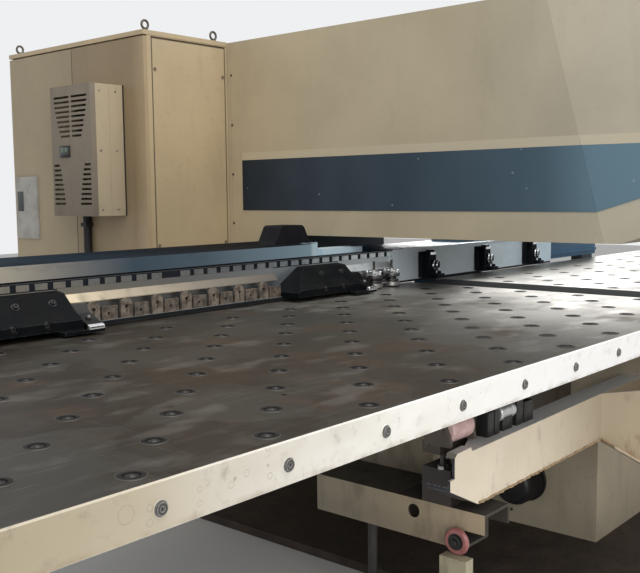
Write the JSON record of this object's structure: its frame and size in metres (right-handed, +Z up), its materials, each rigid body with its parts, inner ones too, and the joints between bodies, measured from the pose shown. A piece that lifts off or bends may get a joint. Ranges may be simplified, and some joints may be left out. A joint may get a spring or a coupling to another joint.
{
  "type": "cnc punch press",
  "caption": "Single head sheet metal punching machine with C frame, wide ball transfer tables, a cross rail with tool cassettes and sheet clamps, and a side electrical cabinet with a cooler.",
  "frame": {"origin": "on the floor, straight below the punch axis", "axes": "+X to the right along the cross rail, +Y from the punch back to the column, +Z up"},
  "size_m": [6.698, 4.079, 2.402],
  "materials": {
    "floor_plate": "dark, worn",
    "frame_paint": "satin",
    "housing_paint": "satin",
    "stripe": "gloss",
    "machined_steel": "machined",
    "dark_bracket": "satin",
    "stand_paint": "satin",
    "cabinet_paint": "satin",
    "zinc": "galvanised",
    "polyurethane": "matte",
    "cooler_grey": "satin",
    "black_plastic": "matte",
    "grey_plastic": "matte",
    "table_steel": "worn",
    "apron_zinc": "satin",
    "ball_steel": "polished",
    "beam_blue": "satin",
    "cover_grey": "satin",
    "black_metal": "satin",
    "magazine_cream": "satin",
    "cassette_steel": "satin",
    "tool_steel": "ground",
    "red_plastic": "gloss"
  },
  "bodies": {
    "machine_frame": {"base_plate": "floor_plate", "c_frame": "frame_paint", "levelling_feet": "frame_paint", "arm_cover_left": "housing_paint", "arm_cover_right": "housing_paint", "top_cover": "housing_paint", "rear_cover": "housing_paint", "nose_cover": "housing_paint", "band_panels": "stripe", "head_body": "frame_paint", "ram_cylinder": "machined_steel", "die_carrier": "machined_steel", "centre_plate": "machined_steel", "support_arm_left": "frame_paint", "support_arm_right": "frame_paint", "base_wing_left": "frame_paint", "base_wing_right": "frame_paint", "roller_brackets": "dark_bracket", "y_guides": "machined_steel", "cabinet_stand": "stand_paint", "cabinet_body": "cabinet_paint", "cabinet_side_panel": "cabinet_paint", "switchgear": "zinc", "lifting_eyes": "zinc", "console_boom": "housing_paint"},
    "table_carriage": {"left_table": "table_steel", "right_table": "table_steel", "left_frame": "frame_paint", "right_frame": "frame_paint", "left_apron": "apron_zinc", "right_apron": "apron_zinc", "ball_units": "ball_steel", "cross_beam": "beam_blue", "beam_covers": "cover_grey", "drive_cover": "black_metal"},
    "rail": {"rail_beam": "machined_steel", "magazine_cover": "magazine_cream", "cassettes": "cassette_steel", "tools": "tool_steel", "clamp_bodies": "black_metal", "tool_holders": "black_metal"},
    "jaw_left": {"clamp_jaw_left": "machined_steel"},
    "jaw_right": {"clamp_jaw_right": "machined_steel"},
    "ram": {"ram": "machined_steel"},
    "punch": {"punch": "machined_steel"},
    "stripper": {"stripper": "machined_steel"},
    "die": {"die": "machined_steel"},
    "roller_left": {"roller_left": "polyurethane"},
    "roller_right": {"roller_right": "polyurethane"},
    "wheel_left": {"wheel_left": "polyurethane"},
    "wheel_right": {"wheel_right": "polyurethane"},
    "near_door": {"near_door": "cabinet_paint", "cooler_casing": "cabinet_paint", "cooler_front": "cooler_grey", "cooler_conduit": "black_plastic"},
    "fan": {"cooler_fan": "black_plastic"},
    "far_door": {"far_door": "cabinet_paint", "document_pocket": "grey_plastic"},
    "console": {"console": "housing_paint"},
    "stop_button": {"stop_button": "red_plastic"}
  },
  "joints": [
    {"name": "table_y", "type": "slide", "parent": "machine_frame", "child": "table_carriage", "axis": [0, -1, 0], "range_m": [0, 1.25]},
    {"name": "rail_x", "type": "slide", "parent": "table_carriage", "child": "rail", "axis": [1, 0, 0], "range_m": [-0.1, 2.4]},
    {"name": "ram_stroke", "type": "slide", "parent": "machine_frame", "child": "ram", "axis": [0, 0, 1], "range_m": [-0.184, 0]},
    {"name": "stripper_stroke", "type": "slide", "parent": "ram", "child": "stripper", "axis": [0, 0, -1], "range_m": [0, 0.012], "stiffness_N_per_m": 20000, "springref_m": -0.02},
    {"name": "punch_turn", "type": "hinge", "parent": "ram", "child": "punch", "pos_m": [0, 0, 1.22], "axis": [0, 0, 1], "continuous": true},
    {"name": "die_turn", "type": "hinge", "parent": "machine_frame", "child": "die", "pos_m": [0, 0, 0.95], "axis": [0, 0, 1], "continuous": true},
    {"name": "roller_left_spin", "type": "hinge", "parent": "machine_frame", "child": "roller_left", "pos_m": [-1.73, 0.062, 0.7857], "axis": [1, 0, 0], "continuous": true},
    {"name": "roller_right_spin", "type": "hinge", "parent": "machine_frame", "child": "roller_right", "pos_m": [1.73, 0.062, 0.7857], "axis": [1, 0, 0], "continuous": true},
    {"name": "wheel_left_spin", "type": "hinge", "parent": "machine_frame", "child": "wheel_left", "pos_m": [-1.711, 0.06, 0.441], "axis": [1, 0, 0], "continuous": true},
    {"name": "wheel_right_spin", "type": "hinge", "parent": "machine_frame", "child": "wheel_right", "pos_m": [1.711, 0.06, 0.441], "axis": [1, 0, 0], "continuous": true},
    {"name": "clamp_left_grip", "type": "hinge", "parent": "rail", "child": "jaw_left", "pos_m": [-2.145, 1.29, 1.075], "axis": [-1, 0, 0], "range_deg": [0, 10]},
    {"name": "clamp_right_grip", "type": "hinge", "parent": "rail", "child": "jaw_right", "pos_m": [-0.66, 1.29, 1.075], "axis": [-1, 0, 0], "range_deg": [0, 10]},
    {"name": "near_door_swing", "type": "hinge", "parent": "machine_frame", "child": "near_door", "pos_m": [-1.048, 2.265, 1.6], "axis": [0, 0, 1], "range_deg": [0, 100]},
    {"name": "far_door_swing", "type": "hinge", "parent": "machine_frame", "child": "far_door", "pos_m": [-1.048, 3.459, 1.6], "axis": [0, 0, -1], "range_deg": [0, 100]},
    {"name": "fan_spin", "type": "hinge", "parent": "near_door", "child": "fan", "pos_m": [-1.143, 2.596, 1.833], "axis": [1, 0, 0], "continuous": true},
    {"name": "console_swivel", "type": "hinge", "parent": "machine_frame", "child": "console", "pos_m": [0.91, -0.44, 1.73], "axis": [0, 0, 1], "range_deg": [-60, 60]},
    {"name": "stop_press", "type": "slide", "parent": "console", "child": "stop_button", "axis": [0, 1, 0], "range_m": [0, 0.006], "stiffness_N_per_m": 1500, "springref_m": -0.004}
  ],
  "couplings": [
    {"joint": "die_turn", "follows": "punch_turn", "ratio": 1},
    {"joint": "roller_left_spin", "follows": "table_y", "rad_per_m": 25},
    {"joint": "roller_right_spin", "follows": "table_y", "rad_per_m": 25}
  ]
}
